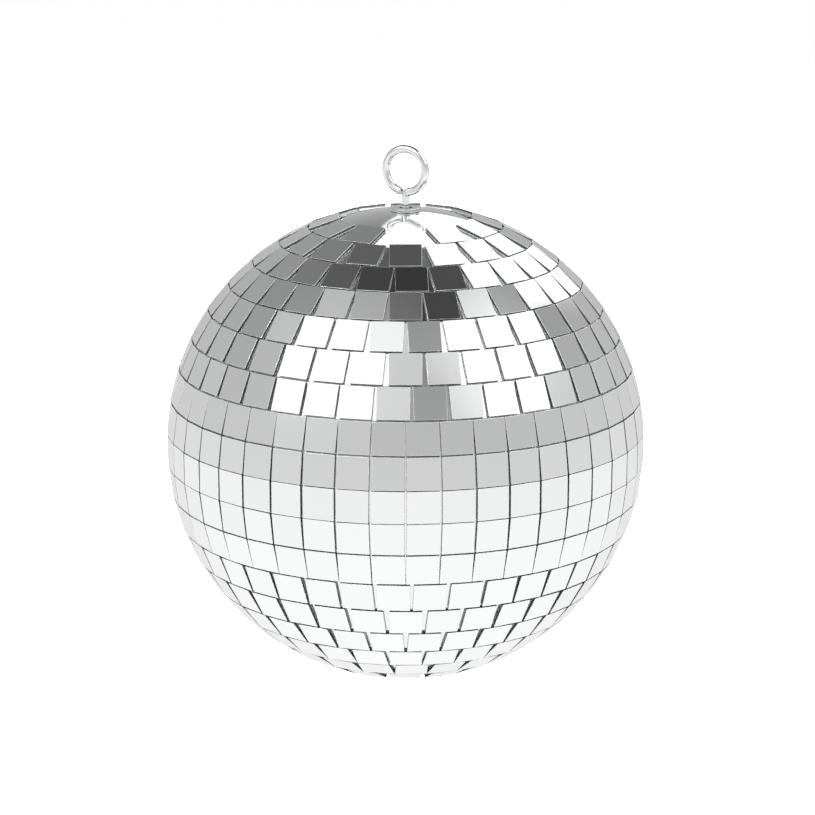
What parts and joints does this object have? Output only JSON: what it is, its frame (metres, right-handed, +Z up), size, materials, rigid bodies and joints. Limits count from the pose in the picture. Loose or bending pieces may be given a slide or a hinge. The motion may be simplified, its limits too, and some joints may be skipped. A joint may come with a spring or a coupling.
{
  "type": "mirror ball",
  "caption": "Hollow ball covered in rows of small square mirrors, with domed polished caps at its poles, turning under a wire ring that it hangs from.",
  "frame": {"origin": "the highest point inside the ring of the eye, where a hook or cord carries the ball; the ball's centre is 91.5 mm below it", "axes": "+Z up along the stem and the ball's axis of spin; the eye's ring stands in the XZ plane, so a hook passes through it along Y"},
  "size_m": [0.1502, 0.1502, 0.168],
  "materials": {
    "mirror_tile": "clear mirror, sharp reflections, cut edges dark, on a silvered band",
    "polished_cap": "polished, faintly brushed by handling",
    "bright_wire": "bright plated wire",
    "plated_steel": "zinc plated",
    "white_plastic": "matt moulded",
    "nylon": "natural, smooth"
  },
  "bodies": {
    "hanger": {"hanging_eye": "bright_wire", "thrust_washer": "nylon", "plain_washer": "plated_steel", "crimp_ferrule": "plated_steel"},
    "ball": {"cap_eyelet": "polished_cap", "top_cap": "polished_cap", "inner_plate": "plated_steel", "upper_core_shell": "white_plastic", "joining_ring": "white_plastic", "lower_core_shell": "white_plastic", "bottom_cap": "polished_cap", "mirror_row_north_9": "mirror_tile", "mirror_row_north_8": "mirror_tile", "mirror_row_north_7": "mirror_tile", "mirror_row_north_6": "mirror_tile", "mirror_row_north_5": "mirror_tile", "mirror_row_north_4": "mirror_tile", "mirror_row_north_3": "mirror_tile", "mirror_row_north_2": "mirror_tile", "mirror_row_north_1": "mirror_tile", "mirror_row_equator": "mirror_tile", "mirror_row_south_1": "mirror_tile", "mirror_row_south_2": "mirror_tile", "mirror_row_south_3": "mirror_tile", "mirror_row_south_4": "mirror_tile", "mirror_row_south_5": "mirror_tile", "mirror_row_south_6": "mirror_tile", "mirror_row_south_7": "mirror_tile", "mirror_row_south_8": "mirror_tile", "mirror_row_south_9": "mirror_tile"}
  },
  "joints": [
    {"name": "ball_spin", "type": "hinge", "parent": "hanger", "child": "ball", "pos_m": [0, 0, -0.0915], "axis": [0, 0, 1], "continuous": true}
  ]
}
